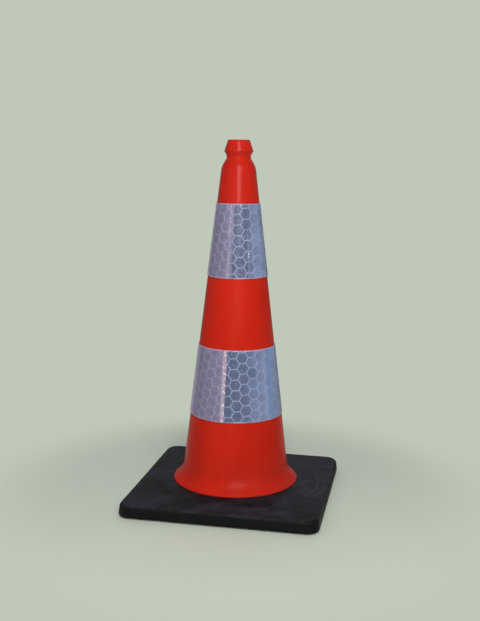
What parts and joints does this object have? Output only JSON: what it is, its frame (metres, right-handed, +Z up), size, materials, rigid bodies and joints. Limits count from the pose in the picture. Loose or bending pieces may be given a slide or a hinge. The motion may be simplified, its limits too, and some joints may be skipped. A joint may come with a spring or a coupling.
{
  "type": "traffic cone",
  "caption": "Two-part road safety cone: hollow plastic cone with grip knob, hooked into a heavy square rubber base, with slip-on reflective honeycomb collars.",
  "frame": {"origin": "centre of the square base at ground level", "axes": "+Z up along the cone's axis, +X and +Y square to the sides of the base"},
  "size_m": [0.272, 0.272, 0.5],
  "materials": {
    "cone_red": "red-orange moulded plastic, satin, lightly weathered",
    "base_black": "black recycled rubber, worn grey on top with dusty swirls",
    "backing_white": "white backing sheet",
    "lens_film": "clear prismatic film over white, with pale honeycomb welds"
  },
  "bodies": {
    "cone": {"base_plate": "base_black", "cone_body": "cone_red"},
    "upper_collar": {"upper_backing_sleeve": "backing_white", "upper_front_panel": "lens_film", "upper_rear_panel": "lens_film"},
    "lower_collar": {"lower_backing_sleeve": "backing_white", "lower_front_panel": "lens_film", "lower_rear_panel": "lens_film"}
  },
  "joints": [
    {"name": "upper_collar_slip", "type": "slide", "parent": "cone", "child": "upper_collar", "axis": [0, 0, 1], "range_m": [0, 0.3]},
    {"name": "lower_collar_slip", "type": "slide", "parent": "cone", "child": "lower_collar", "axis": [0, 0, 1], "range_m": [0, 0.39]}
  ]
}
